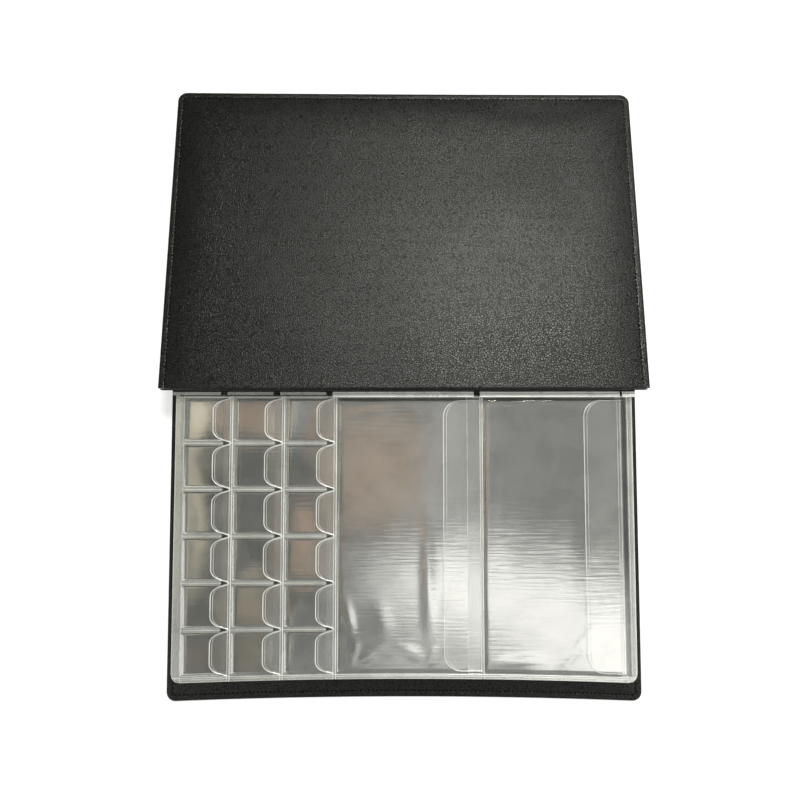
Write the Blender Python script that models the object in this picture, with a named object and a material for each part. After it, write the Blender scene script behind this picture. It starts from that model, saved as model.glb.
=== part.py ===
# Coin collection album lying open, modelled as covers, spine and ten clear pocket leaves.
# The spine runs along X, the back cover reaches toward -Y and the front cover toward +Y.
# The origin is the middle of the back cover's underside.
import math

import bpy
import bmesh
from mathutils import Matrix, Vector

mm = 0.001

# Covers
cover_length = 278 * mm
panel_width = 183.4 * mm
cover_corner_radius = 5.6 * mm
skin_thickness = 0.7 * mm
skin_rim_height = 1.3 * mm
skin_rim_width = 4.2 * mm
board_thickness = 1.6 * mm
board_inset = 4.7 * mm
lining_thickness = 0.5 * mm
lining_rim_bottom = 1.6 * mm
field_inset = 3.9 * mm
field_wall = 0.5 * mm
field_round = 0.45 * mm
layer_gap = 0.3 * mm
stitch_inset = 3.0 * mm
stitch_bead_radius = 0.25 * mm

# Spine and its two folds
ridge_axis_height = 26.8 * mm
spine_lean = 4.0 * mm
fold_gap = 2.6 * mm

# Leaves
leaf_count = 10
leaf_length = 264 * mm
leaf_near_margin = 14.7 * mm
leaf_far_gap = 0.33 * mm
leaf_corner_radius = 5.0 * mm
leaf_pitch = 1.3 * mm
leaf_rest_gap = 0.4 * mm
back_sheet_thickness = 0.2 * mm
weld_bottom = 0.48 * mm
weld_top = 0.95 * mm
tongue_bottom = 0.5 * mm
tongue_top = 0.65 * mm
face_bottom = 0.8 * mm
face_top = 1.0 * mm

# Pockets
coin_rows = 6
coin_columns = 3
left_border_width = 5.2 * mm
right_border_width = 7.0 * mm
coin_pocket_width = 26.2 * mm
coin_column_pitch = 30.05 * mm
coin_weld_width = 1.8 * mm
coin_mouth_gap = 4.0 * mm
first_note_pocket_share = 0.5115
note_weld_width = 1.8 * mm
note_mouth_gap = 7.2 * mm
last_mouth_gap = 1.6 * mm
film_split_gap = 0.3 * mm
weld_edge_inset = 0.1 * mm
top_border = 0.9 * mm
bottom_border = 3.8 * mm
row_weld_width = 1.2 * mm

# Tongues that tuck under the mouth edges
coin_tongue_reach = 10.9 * mm
coin_tongue_radius = 5.6 * mm
note_tongue_reach = 21.8 * mm
note_tongue_radius = 9.6 * mm
coin_tongue_end_gap = 0.64 * mm
note_tongue_end_gap = 1.5 * mm

# Binding
binding_strip_thickness = 0.5 * mm
binding_strip_tuck = 0.3 * mm
binding_strip_gap = 0.3 * mm
hinge_strip_thickness = 0.2 * mm
hinge_strip_pitch = 0.38 * mm
hinge_strip_end_gap = 0.2 * mm
turned_leaf_front_gap = 0.28 * mm
turned_leaf_top_gap = 0.3 * mm

# Drawing values
corner_steps = 4
leaf_corner_steps = 3
tongue_corner_steps = 2
fold_steps = 12
cut_overrun = 2 * mm
merge_distance = 0.001 * mm

# Derived values
cover_thickness = (
    skin_thickness + layer_gap + board_thickness + layer_gap + lining_thickness
)
half_cover = cover_thickness / 2
board_bottom = skin_thickness + layer_gap
lining_rim_top = lining_rim_bottom + lining_thickness
lining_field_bottom = cover_thickness - lining_thickness
back_axis_y = panel_width / 2 + fold_gap
back_axis = Vector((0, back_axis_y, half_cover))
ridge_axis = Vector((0, back_axis_y - spine_lean, ridge_axis_height))
spine_span = (ridge_axis - back_axis).length
lean_angle = math.atan2(spine_lean, ridge_axis_height - half_cover)
front_reach = fold_gap + panel_width
front_slope = math.asin((ridge_axis_height - half_cover) / front_reach)
quarter_turn = math.pi / 2

# Binding strip under the ridge, then one hinge strip in front of another
ridge_front_y = ridge_axis.y - half_cover
ridge_top = ridge_axis.z + half_cover
binding_strip_back_y = ridge_front_y + binding_strip_tuck
binding_front_y = binding_strip_back_y - binding_strip_thickness
first_strip_back_y = binding_front_y - binding_strip_gap
top_strip_back_y = first_strip_back_y - (leaf_count - 1) * hinge_strip_pitch
top_strip_front_y = top_strip_back_y - hinge_strip_thickness

# Leaf stack, and the line about which a leaf turns over onto the front cover
leaf_near_edge_y = leaf_near_margin - panel_width / 2
leaf_far_edge_y = top_strip_front_y - leaf_far_gap
stack_bottom = cover_thickness + leaf_rest_gap
stack_top = stack_bottom + (leaf_count - 1) * leaf_pitch + face_top
leaf_axis_y = (top_strip_front_y + ridge_front_y - turned_leaf_front_gap) / 2
leaf_axis_height = (stack_top + ridge_top + turned_leaf_top_gap) / 2

# Places of the weld lines along X
half_coin_weld = coin_weld_width / 2
half_note_weld = note_weld_width / 2
left_border_inner_x = left_border_width - leaf_length / 2
right_border_inner_x = leaf_length / 2 - right_border_width
first_coin_weld_x = left_border_inner_x + coin_pocket_width + half_coin_weld
coin_weld_centres_x = [
    first_coin_weld_x + column * coin_column_pitch for column in range(coin_columns)
]
split_x = coin_weld_centres_x[-1]
note_weld_centre_x = split_x + first_note_pocket_share * (right_border_inner_x - split_x)


def scene_start():
    for item in list(bpy.data.objects):
        bpy.data.objects.remove(item, do_unlink=True)
    for group in list(bpy.data.collections):
        bpy.data.collections.remove(group)
    bpy.context.scene.unit_settings.system = "METRIC"
    bpy.context.scene.unit_settings.scale_length = 1.0


scene_start()
album = bpy.data.collections.new("coin_collection_album")
cutters = bpy.data.collections.new("cutters")
bpy.context.scene.collection.children.link(album)
bpy.context.scene.collection.children.link(cutters)


def material(name, colour, roughness, alpha=1.0, coat=0.0):
    shade = bpy.data.materials.new(name)
    shade.use_nodes = True
    surface = shade.node_tree.nodes["Principled BSDF"]
    surface.inputs["Base Color"].default_value = (*colour, 1.0)
    surface.inputs["Roughness"].default_value = roughness
    surface.inputs["Alpha"].default_value = alpha
    surface.inputs["Coat Weight"].default_value = coat
    return shade


def outline(x0, x1, y0, y1, near=0.0, far=0.0):
    # A rectangle from x0 to x1 and y0 to y1 with one radius at its y0 end and one at its y1 end
    points = []
    corners = ((x1, y0, near, -1), (x1, y1, far, 0), (x0, y1, far, 1), (x0, y0, near, 2))
    for x, y, radius, quarters in corners:
        if radius == 0:
            points.append((x, y))
            continue
        cx = x - radius if x == x1 else x + radius
        cy = y - radius if y == y1 else y + radius
        for step in range(corner_steps + 1):
            turn = quarter_turn * (quarters + step / corner_steps)
            points.append((cx + radius * math.cos(turn), cy + radius * math.sin(turn)))
    return points


def tongue_outline(tip_x, root_x, y0, y1, radius):
    # A tab whose two corners at tip_x are round
    points = [(root_x, y0), (root_x, y1)]
    for cy, quarters in ((y1 - radius, 1), (y0 + radius, 2)):
        for step in range(tongue_corner_steps + 1):
            turn = quarter_turn * (quarters + step / tongue_corner_steps)
            x = tip_x + radius + radius * math.cos(turn)
            points.append((x, cy + radius * math.sin(turn)))
    return points


def mesh_of(source, name):
    # The evaluated shape of an object as one welded plain mesh
    bpy.context.view_layer.update()
    graph = bpy.context.evaluated_depsgraph_get()
    mesh = bpy.data.meshes.new_from_object(source.evaluated_get(graph))
    mesh.name = name
    work = bmesh.new()
    work.from_mesh(mesh)
    bmesh.ops.remove_doubles(work, verts=work.verts, dist=merge_distance)
    bmesh.ops.recalc_face_normals(work, faces=work.faces)
    work.to_mesh(mesh)
    work.free()
    return mesh


def plate_mesh(name, loops, bottom, top, rounding=0.0):
    # One or more flat outlines extruded from bottom to top, inner ones leave holes
    curve = bpy.data.curves.new(name + "_outline", "CURVE")
    curve.dimensions = "2D"
    curve.fill_mode = "BOTH"
    curve.extrude = (top - bottom) / 2 - rounding
    curve.bevel_depth = rounding
    curve.bevel_resolution = 1
    curve.offset = -rounding
    for loop in loops:
        spline = curve.splines.new("POLY")
        spline.points.add(len(loop) - 1)
        for point, (x, y) in zip(spline.points, loop):
            point.co = (x, y, 0, 1)
        spline.use_cyclic_u = True
    holder = bpy.data.objects.new(name + "_holder", curve)
    bpy.context.scene.collection.objects.link(holder)
    mesh = mesh_of(holder, name)
    bpy.data.objects.remove(holder, do_unlink=True)
    bpy.data.curves.remove(curve)
    mesh.transform(Matrix.Translation((0, 0, (bottom + top) / 2)))
    return mesh


def plate(name, loops, bottom, top, group=album, rounding=0.0):
    item = bpy.data.objects.new(name, plate_mesh(name, loops, bottom, top, rounding))
    group.objects.link(item)
    if group is cutters:
        item.hide_render = True
        item.display_type = "WIRE"
    return item


def combine(item, other, operation):
    step = item.modifiers.new(other.name, "BOOLEAN")
    step.object = other
    step.operation = operation
    step.solver = "EXACT"


def hinge(name, place, turn):
    # An empty on a joint axis that carries the pieces that turn about it
    pivot = bpy.data.objects.new(name, None)
    album.objects.link(pivot)
    pivot.location = place
    pivot.rotation_euler = turn
    pivot.empty_display_size = fold_gap
    return pivot


def ride(items, pivot):
    for item in items:
        item.parent = pivot


def paint(item, shade):
    item.data.materials.clear()
    item.data.materials.append(shade)


# Hinge pivots of the folds
back_pivot = hinge("back_cover_fold_pivot", back_axis, (0, 0, math.pi))
spine_pivot = hinge("spine_fold_pivot", back_axis, (quarter_turn + lean_angle, 0, 0))
front_pivot = hinge("front_cover_fold_pivot", ridge_axis, (-front_slope, 0, 0))


def cover(side, pivot):
    # One cover panel drawn outward along Y from its fold, outer face down, lining up
    half_length = cover_length / 2
    inner_y = fold_gap
    outer_y = fold_gap + panel_width
    edge = outline(-half_length, half_length, inner_y, outer_y, 0.0, cover_corner_radius)

    def inset_edge(inset, open_end):
        radius = max(cover_corner_radius - inset, field_wall)
        start_y = inner_y - open_end
        return outline(
            -half_length + inset, half_length - inset, start_y, outer_y - inset, 0.0, radius
        )

    def level(height):
        return height - half_cover

    # Outer skin, a tray whose rim stands up on the three stitched sides
    skin = plate(side + "_outer_skin", [edge], level(0), level(skin_rim_height))
    pocket = plate(
        side + "_skin_pocket",
        [inset_edge(skin_rim_width, cut_overrun)],
        level(skin_thickness),
        level(skin_rim_height + cut_overrun),
        cutters,
    )
    combine(skin, pocket, "DIFFERENCE")

    # Stiff board between the skin and the lining
    board = plate(
        side + "_board",
        [inset_edge(board_inset, -layer_gap)],
        level(board_bottom),
        level(board_bottom + board_thickness),
    )

    # Lining, a raised padded field inside a thin stitched rim
    lining = plate(
        side + "_lining", [edge], level(lining_rim_bottom), level(lining_rim_top)
    )
    field = plate(
        side + "_lining_field",
        [inset_edge(field_inset, -weld_edge_inset)],
        level(lining_rim_bottom + weld_edge_inset),
        level(cover_thickness),
        cutters,
        field_round,
    )
    hollow = plate(
        side + "_lining_hollow",
        [inset_edge(field_inset + field_wall, cut_overrun)],
        level(lining_rim_bottom - cut_overrun),
        level(lining_field_bottom),
        cutters,
    )
    combine(lining, field, "UNION")
    combine(lining, hollow, "DIFFERENCE")

    # Seam thread along the three stitched sides
    path = inset_edge(stitch_inset, -layer_gap)
    start = path.index(min(path, key=lambda point: (point[1], point[0])))
    ordered = path[start:] + path[:start]
    if ordered[1][1] == ordered[0][1]:
        ordered = ordered[1:] + ordered[:1]
    thread_curve = bpy.data.curves.new(side + "_stitching_path", "CURVE")
    thread_curve.dimensions = "3D"
    thread_curve.fill_mode = "FULL"
    thread_curve.bevel_depth = stitch_bead_radius
    thread_curve.bevel_resolution = 1
    thread_curve.use_fill_caps = True
    spline = thread_curve.splines.new("POLY")
    spline.points.add(len(ordered) - 1)
    thread_height = level(lining_rim_top + layer_gap + stitch_bead_radius)
    for point, (x, y) in zip(spline.points, ordered):
        point.co = (x, y, thread_height, 1)
    holder = bpy.data.objects.new(side + "_stitching_holder", thread_curve)
    bpy.context.scene.collection.objects.link(holder)
    thread = bpy.data.objects.new(
        side + "_stitching", mesh_of(holder, side + "_stitching")
    )
    bpy.data.objects.remove(holder, do_unlink=True)
    album.objects.link(thread)

    ride((skin, pocket, board, lining, field, hollow, thread), pivot)
    paint(skin, material(side + "_outer_skin_leather", (0.016, 0.016, 0.017), 0.45))
    paint(board, material(side + "_grey_board", (0.32, 0.29, 0.25), 0.9))
    paint(lining, material(side + "_lining_leather", (0.02, 0.02, 0.022), 0.42))
    paint(thread, material(side + "_thread", (0.008, 0.008, 0.009), 0.7))


# Back cover and front cover
cover("back_cover", back_pivot)
cover("front_cover", front_pivot)


def roll_arc(centre, first, last):
    points = []
    for step in range(fold_steps + 1):
        turn = first + (last - first) * step / fold_steps
        points.append((centre + half_cover * math.cos(turn), half_cover * math.sin(turn)))
    return points


# Spine skin with a rolled fold of leather on each joint axis
inner_face = skin_thickness - half_cover
meet_angle = math.asin(inner_face / half_cover)
ridge_roll = roll_arc(spine_span, -quarter_turn, 2 * quarter_turn - meet_angle)
foot_roll = roll_arc(0.0, meet_angle, 3 * quarter_turn)
spine_skin_mesh = plate_mesh(
    "spine_outer_skin", [ridge_roll + foot_roll], -cover_length / 2, cover_length / 2
)
# The outline is drawn flat, then stood up so that its extrusion runs along the spine
stand_up = Matrix(((0, 0, 1, 0), (1, 0, 0, 0), (0, 1, 0, 0), (0, 0, 0, 1)))
spine_skin_mesh.transform(stand_up)
spine_skin = bpy.data.objects.new("spine_outer_skin", spine_skin_mesh)
album.objects.link(spine_skin)
spine_edge = outline(
    -cover_length / 2 + board_inset,
    cover_length / 2 - board_inset,
    fold_gap,
    spine_span - fold_gap,
)
spine_board = plate(
    "spine_board",
    [spine_edge],
    board_bottom - half_cover,
    board_bottom + board_thickness - half_cover,
)
spine_face = outline(
    -cover_length / 2, cover_length / 2, fold_gap, spine_span - fold_gap
)
spine_lining = plate(
    "spine_lining",
    [spine_face],
    lining_field_bottom - half_cover,
    cover_thickness - half_cover,
)
ride((spine_skin, spine_board, spine_lining), spine_pivot)
paint(spine_skin, material("spine_outer_skin_leather", (0.016, 0.016, 0.017), 0.45))
paint(spine_board, material("spine_grey_board", (0.32, 0.29, 0.25), 0.9))
paint(spine_lining, material("spine_lining_leather", (0.02, 0.02, 0.022), 0.42))

# Binding strip that stands on the back cover in front of the spine
binding_strip = plate(
    "binding_strip",
    [outline(-leaf_length / 2, leaf_length / 2, binding_front_y, binding_strip_back_y)],
    cover_thickness + binding_strip_gap,
    leaf_axis_height - hinge_strip_end_gap,
)
paint(binding_strip, material("binding_strip_leather", (0.03, 0.03, 0.032), 0.5))


# Pocket films, one welded sheet for the coin columns and one for the two note pockets
half_leaf = leaf_length / 2
field_near_y = leaf_near_edge_y + bottom_border
field_far_y = leaf_far_edge_y - top_border
row_pitch = (field_far_y - field_near_y) / coin_rows
coin_end_x = split_x - film_split_gap / 2
note_start_x = split_x + film_split_gap / 2


def side_outline(x0, x1, inset, left_radius, right_radius):
    # A leaf-high rectangle whose free corners are rounded on one side only
    y0 = leaf_near_edge_y + inset
    y1 = leaf_far_edge_y - inset
    points = []
    corners = (
        (x1, y0, right_radius, -1),
        (x1, y1, 0.0, 0),
        (x0, y1, 0.0, 1),
        (x0, y0, left_radius, 2),
    )
    for x, y, radius, quarters in corners:
        if radius == 0:
            points.append((x, y))
            continue
        cx = x - radius if x == x1 else x + radius
        for step in range(leaf_corner_steps + 1):
            turn = quarter_turn * (quarters + step / leaf_corner_steps)
            px = cx + radius * math.cos(turn)
            points.append((px, y + radius + radius * math.sin(turn)))
    return points


def row_ends(row):
    # The clear span between the weld lines below and above one row of coin pockets
    low = field_near_y + row * row_pitch + row_weld_width / 2
    return low, low + row_pitch - row_weld_width


def welded_film(name, faces, grid, tongues):
    # Front faces on top, a weld grid through both layers and tongues in the lower layer
    film = plate(name + "_faces", faces, face_bottom, face_top, cutters)
    welds = plate(name + "_welds", grid, weld_bottom, weld_top, cutters)
    tabs = plate(name + "_tongues", tongues, tongue_bottom, tongue_top, cutters)
    combine(film, welds, "UNION")
    combine(film, tabs, "UNION")
    return mesh_of(film, name)


coin_left_edges = [-half_leaf]
window_starts = [left_border_inner_x]
for weld_x in coin_weld_centres_x[:-1]:
    coin_left_edges.append(weld_x - half_coin_weld)
    window_starts.append(weld_x + half_coin_weld)
coin_faces = []
coin_grid = [
    side_outline(
        -half_leaf + weld_edge_inset,
        coin_end_x,
        weld_edge_inset,
        leaf_corner_radius - weld_edge_inset,
        0.0,
    )
]
coin_tongues = []
for column, left_edge in enumerate(coin_left_edges):
    weld_x = coin_weld_centres_x[column]
    mouth_x = weld_x - half_coin_weld - coin_mouth_gap
    radius = leaf_corner_radius if column == 0 else 0.0
    coin_faces.append(side_outline(left_edge, mouth_x, 0.0, radius, 0.0))
    for row in range(coin_rows):
        window_end = weld_x - half_coin_weld
        low, high = row_ends(row)
        coin_grid.append(outline(window_starts[column], window_end, low, high))
        coin_tongues.append(
            tongue_outline(
                weld_x - coin_tongue_reach,
                weld_x - half_coin_weld / 2,
                low + coin_tongue_end_gap,
                high - coin_tongue_end_gap,
                coin_tongue_radius,
            )
        )
coin_film_mesh = welded_film("coin_film", coin_faces, coin_grid, coin_tongues)

note_low = field_near_y + row_weld_width / 2
note_high = field_far_y - row_weld_width / 2
note_one_mouth = note_weld_centre_x - half_note_weld - note_mouth_gap
note_two_mouth = right_border_inner_x - last_mouth_gap
note_faces = [
    side_outline(note_start_x, note_one_mouth, 0.0, 0.0, 0.0),
    side_outline(note_weld_centre_x - half_note_weld, note_two_mouth, 0.0, 0.0, 0.0),
    side_outline(right_border_inner_x, half_leaf, 0.0, 0.0, leaf_corner_radius),
]
note_grid = [
    side_outline(
        note_start_x,
        half_leaf - weld_edge_inset,
        weld_edge_inset,
        0.0,
        leaf_corner_radius - weld_edge_inset,
    ),
    outline(
        note_start_x + half_coin_weld,
        note_weld_centre_x - half_note_weld,
        note_low,
        note_high,
    ),
    outline(
        note_weld_centre_x + half_note_weld, right_border_inner_x, note_low, note_high
    ),
]
note_tongues = []
for root_x in (note_weld_centre_x, right_border_inner_x + half_note_weld):
    note_tongues.append(
        tongue_outline(
            root_x - note_tongue_reach,
            root_x - half_note_weld / 2,
            note_low + note_tongue_end_gap,
            note_high - note_tongue_end_gap,
            note_tongue_radius,
        )
    )
note_film_mesh = welded_film("note_film", note_faces, note_grid, note_tongues)

# Ten leaves, each hinged on the leaf below, all about the one axis in front of the ridge
leaf_axis = Vector((0, leaf_axis_y, leaf_axis_height))
for number in range(leaf_count, 0, -1):
    steps_up = leaf_count - number
    base = stack_bottom + steps_up * leaf_pitch
    label = "leaf_%02d" % number
    strip_back_y = first_strip_back_y - steps_up * hinge_strip_pitch
    strip_front_y = strip_back_y - hinge_strip_thickness
    pivot = hinge(label + "_pivot", leaf_axis, (0, 0, 0))
    drop = Matrix.Translation(-leaf_axis)

    strip = plate(
        label + "_hinge_strip",
        [outline(-half_leaf, half_leaf, strip_front_y, strip_back_y)],
        base + back_sheet_thickness + layer_gap,
        leaf_axis_height - hinge_strip_end_gap,
    )
    sheet = plate(
        label + "_back_sheet",
        [
            outline(
                -half_leaf,
                half_leaf,
                leaf_near_edge_y,
                strip_back_y,
                leaf_corner_radius,
                0.0,
            )
        ],
        base,
        base + back_sheet_thickness,
    )
    strip.data.transform(drop)
    sheet.data.transform(drop)
    coins = bpy.data.objects.new(label + "_coin_film", coin_film_mesh)
    notes = bpy.data.objects.new(label + "_note_film", note_film_mesh)
    for film in (coins, notes):
        album.objects.link(film)
        film.location = Vector((0, 0, base)) - leaf_axis
    ride((strip, sheet, coins, notes), pivot)
    paint(strip, material(label + "_strip_vinyl", (0.62, 0.62, 0.6), 0.3, 0.5))
    paint(sheet, material(label + "_sheet_vinyl", (0.62, 0.62, 0.6), 0.15, 0.3, 0.5))
    if number == leaf_count:
        coin_shade = material("coin_film_vinyl", (0.66, 0.66, 0.64), 0.1, 0.3, 0.8)
        note_shade = material("note_film_vinyl", (0.66, 0.66, 0.64), 0.1, 0.3, 0.8)
        paint(coins, coin_shade)
        paint(notes, note_shade)

bpy.context.view_layer.update()
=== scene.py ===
import bpy, bmesh, math
import numpy as np
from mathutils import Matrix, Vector, noise


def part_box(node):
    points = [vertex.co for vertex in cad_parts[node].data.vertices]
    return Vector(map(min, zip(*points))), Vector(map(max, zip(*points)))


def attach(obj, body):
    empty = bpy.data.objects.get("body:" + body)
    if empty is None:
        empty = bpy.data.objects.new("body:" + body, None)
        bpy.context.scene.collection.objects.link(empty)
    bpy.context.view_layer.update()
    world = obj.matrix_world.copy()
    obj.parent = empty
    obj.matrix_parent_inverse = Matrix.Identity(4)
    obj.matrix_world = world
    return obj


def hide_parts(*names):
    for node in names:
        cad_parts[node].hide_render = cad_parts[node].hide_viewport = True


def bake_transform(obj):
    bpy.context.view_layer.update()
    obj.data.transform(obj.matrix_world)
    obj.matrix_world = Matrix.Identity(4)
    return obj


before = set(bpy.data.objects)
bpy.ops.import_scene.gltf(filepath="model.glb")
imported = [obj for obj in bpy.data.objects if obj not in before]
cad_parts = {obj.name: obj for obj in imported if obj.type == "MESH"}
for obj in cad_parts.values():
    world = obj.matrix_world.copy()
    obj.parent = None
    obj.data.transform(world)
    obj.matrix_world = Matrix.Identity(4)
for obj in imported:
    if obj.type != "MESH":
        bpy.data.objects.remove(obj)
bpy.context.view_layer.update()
mm = 0.001

# Table and light. A plain white table top under three soft lamps, in a room whose
# soft light and dark shapes show as reflections in the film.
scene = bpy.context.scene
scene.view_settings.view_transform = "Standard"
eye = bpy.data.cameras.new("eye")
eye.sensor_width = 36
eye.lens = 36 * 682.7 / 800
eye.clip_start, eye.clip_end = 0.01, 20
camera = bpy.data.objects.new("eye", eye)
scene.collection.objects.link(camera)
camera.location = (-2.25 * mm, 59.1 * mm, 411.3 * mm)
camera.rotation_euler = (0.06285, 0, -0.0008)
scene.camera = camera

table_mesh = bpy.data.meshes.new("table_top")
table_mesh.from_pydata([(-4, -4, 0), (4, -4, 0), (4, 4, 0), (-4, 4, 0)], [], [(0, 1, 2, 3)])
table_top = bpy.data.objects.new("table_top", table_mesh)
table_top.location.z = -0.4 * mm
scene.collection.objects.link(table_top)
table_paint = bpy.data.materials.new("white_table")
table_paint.use_nodes = True
nodes, links = table_paint.node_tree.nodes, table_paint.node_tree.links
nodes.clear()
out = nodes.new("ShaderNodeOutputMaterial")
board_white = nodes.new("ShaderNodeBsdfDiffuse")
board_white.inputs["Color"].default_value = (0.6, 0.6, 0.6, 1)
glow = nodes.new("ShaderNodeEmission")
glow.inputs["Color"].default_value = (1, 1, 1, 1)
glow.inputs["Strength"].default_value = 0.52
rays = nodes.new("ShaderNodeLightPath")
seen = nodes.new("ShaderNodeMath")
seen.operation = "MAXIMUM"
seen_again = nodes.new("ShaderNodeMath")
seen_again.operation = "MAXIMUM"
both = nodes.new("ShaderNodeAddShader")
pick = nodes.new("ShaderNodeMixShader")
links.new(rays.outputs["Is Camera Ray"], seen.inputs[0])
links.new(rays.outputs["Is Glossy Ray"], seen.inputs[1])
links.new(board_white.outputs[0], both.inputs[0])
links.new(glow.outputs[0], both.inputs[1])
links.new(seen.outputs[0], seen_again.inputs[0])
links.new(rays.outputs["Is Transmission Ray"], seen_again.inputs[1])
links.new(seen_again.outputs[0], pick.inputs[0])
links.new(board_white.outputs[0], pick.inputs[1])
links.new(both.outputs[0], pick.inputs[2])
links.new(pick.outputs[0], out.inputs[0])
table_mesh.materials.append(table_paint)


def speckle(nodes, scale, detail):
    # A noise texture, used for the room and for every grain, haze and fibre
    texture = nodes.new("ShaderNodeTexNoise")
    texture.inputs["Scale"].default_value = scale
    texture.inputs["Detail"].default_value = detail
    return texture


sky = bpy.data.worlds.new("room")
scene.world = sky
sky.use_nodes = True
nodes, links = sky.node_tree.nodes, sky.node_tree.links
toward = nodes.new("ShaderNodeTexCoord")
parts = nodes.new("ShaderNodeSeparateXYZ")
links.new(toward.outputs["Generated"], parts.inputs[0])
rise = nodes.new("ShaderNodeMath")
rise.operation = "MAXIMUM"
rise.inputs[1].default_value = 0.08
links.new(parts.outputs["Z"], rise.inputs[0])
flat = nodes.new("ShaderNodeCombineXYZ")
for axis in ("X", "Y"):
    over = nodes.new("ShaderNodeMath")
    over.operation = "DIVIDE"
    links.new(parts.outputs[axis], over.inputs[0])
    links.new(rise.outputs[0], over.inputs[1])
    links.new(over.outputs[0], flat.inputs[axis])
drift = speckle(nodes, 9, 3)
drift_reach = 0.07
wander = nodes.new("ShaderNodeVectorMath")
wander.operation = "MULTIPLY_ADD"
wander.inputs[1].default_value = (drift_reach, drift_reach, 0)
links.new(flat.outputs[0], drift.inputs["Vector"])
links.new(drift.outputs["Color"], wander.inputs[0])
links.new(flat.outputs[0], wander.inputs[2])
room_tone = nodes.new("ShaderNodeRGB")
room_tone.outputs[0].default_value = (0.40, 0.405, 0.39, 1)
tone = room_tone.outputs[0]
# Soft light and dark shapes in the room, seen at unit height over the table: x and y of
# each, its half sizes, its turn in degrees, how soft its edge is, and its colour
for px, py, half_x, half_y, turn, soft, colour in (
    (0.0, 0.95, 1.3, 0.5, 0, 0.3, (0.05, 0.05, 0.047)),
    (0.5, 0.7, 0.45, 0.25, 0, 0.5, (0.2, 0.2, 0.19)),
    (0.0, 2.1, 3.0, 1.0, 0, 0.25, (0.01, 0.01, 0.01)),
    (-0.25, -0.12, 0.16, 0.30, 0, 0.25, (0.21, 0.215, 0.205)),
    (-0.05, -0.21, 0.06, 0.10, 0, 0.35, (0.31, 0.32, 0.315)),
    (-0.035, -0.036, 0.085, 0.08, 10, 0.12, (0.64, 0.53, 0.43)),
    (0.075, -0.02, 0.035, 0.16, 0, 0.5, (0.66, 0.66, 0.65)),
    (0.03, -0.34, 0.10, 0.05, 0, 0.5, (0.9, 0.9, 0.88)),
    (0.16, -0.225, 0.20, 0.062, -9, 0.5, (2.0, 2.0, 1.95)),
    (0.34, -0.33, 0.17, 0.11, 10, 0.5, (2.0, 2.0, 1.95)),
    (-0.31, 0.045, 0.042, 0.048, -20, 0.14, (1.4, 1.28, 1.0)),
    (-0.302, -0.08, 0.012, 0.13, 4, 0.3, (0.95, 0.88, 0.68)),
    (-0.34, -0.12, 0.02, 0.2, 0, 0.3, (0.8, 0.74, 0.6)),
    (-0.215, 0.035, 0.045, 0.036, 0, 0.12, (0.56, 0.43, 0.34)),
    (-0.165, 0.035, 0.010, 0.05, -25, 0.25, (1.1, 1.05, 0.9)),
    (-0.145, 0.03, 0.012, 0.05, -15, 0.25, (0.22, 0.30, 0.38)),
    (-0.122, 0.03, 0.010, 0.045, -15, 0.25, (0.66, 0.49, 0.38)),
    (-0.272, -0.05, 0.018, 0.03, 10, 0.2, (0.06, 0.065, 0.06)),
    (-0.14, -0.115, 0.02, 0.034, 20, 0.15, (0.78, 0.58, 0.46)),
    (-0.14, -0.17, 0.03, 0.03, 0, 0.25, (0.62, 0.49, 0.39)),
    (-0.218, -0.205, 0.02, 0.014, 0, 0.4, (0.60, 0.56, 0.45)),
    (-0.285, -0.235, 0.02, 0.016, 30, 0.25, (0.06, 0.065, 0.06)),
    (-0.22, -0.245, 0.034, 0.03, 0, 0.15, (0.47, 0.41, 0.31)),
    (-0.295, -0.315, 0.04, 0.03, 0, 0.2, (0.28, 0.25, 0.21)),
    (-0.215, -0.315, 0.026, 0.03, 30, 0.25, (0.36, 0.33, 0.27)),
    (-0.14, -0.245, 0.008, 0.02, 0, 0.5, (0.6, 0.6, 0.58)),
    (-0.172, -0.30, 0.006, 0.04, 8, 0.5, (1.6, 1.6, 1.55)),
):
    place = nodes.new("ShaderNodeMapping")
    place.vector_type = "TEXTURE"
    place.inputs["Location"].default_value = (px + drift_reach / 2, py + drift_reach / 2, 0)
    place.inputs["Rotation"].default_value = (0, 0, math.radians(turn))
    place.inputs["Scale"].default_value = (half_x, half_y, 1)
    away = nodes.new("ShaderNodeVectorMath")
    away.operation = "LENGTH"
    fade = nodes.new("ShaderNodeMapRange")
    fade.interpolation_type = "SMOOTHSTEP"
    fade.inputs["From Min"].default_value = 1 + soft
    fade.inputs["From Max"].default_value = 1 - soft
    mix = nodes.new("ShaderNodeMix")
    mix.data_type = "RGBA"
    mix.inputs["B"].default_value = (*colour, 1)
    links.new(wander.outputs[0], place.inputs["Vector"])
    links.new(place.outputs[0], away.inputs[0])
    links.new(away.outputs["Value"], fade.inputs["Value"])
    links.new(fade.outputs["Result"], mix.inputs["Factor"])
    links.new(tone, mix.inputs["A"])
    tone = mix.outputs["Result"]
room_light = nodes["Background"]
links.new(tone, room_light.inputs["Color"])
backdrop = nodes.new("ShaderNodeBackground")
backdrop.inputs["Color"].default_value = (1, 1, 1, 1)
straight = nodes.new("ShaderNodeLightPath")
choose = nodes.new("ShaderNodeMixShader")
links.new(straight.outputs["Is Camera Ray"], choose.inputs[0])
links.new(room_light.outputs[0], choose.inputs[1])
links.new(backdrop.outputs[0], choose.inputs[2])
links.new(choose.outputs[0], nodes["World Output"].inputs["Surface"])


def panel_light(name, place, aim, width, height, power, colour):
    lamp = bpy.data.lights.new(name, "AREA")
    lamp.shape = "RECTANGLE"
    lamp.size, lamp.size_y = width, height
    lamp.energy = power
    lamp.color = colour
    holder = bpy.data.objects.new(name, lamp)
    scene.collection.objects.link(holder)
    holder.location = place
    holder.rotation_euler = (Vector(aim) - Vector(place)).to_track_quat("-Z", "Y").to_euler()


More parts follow.
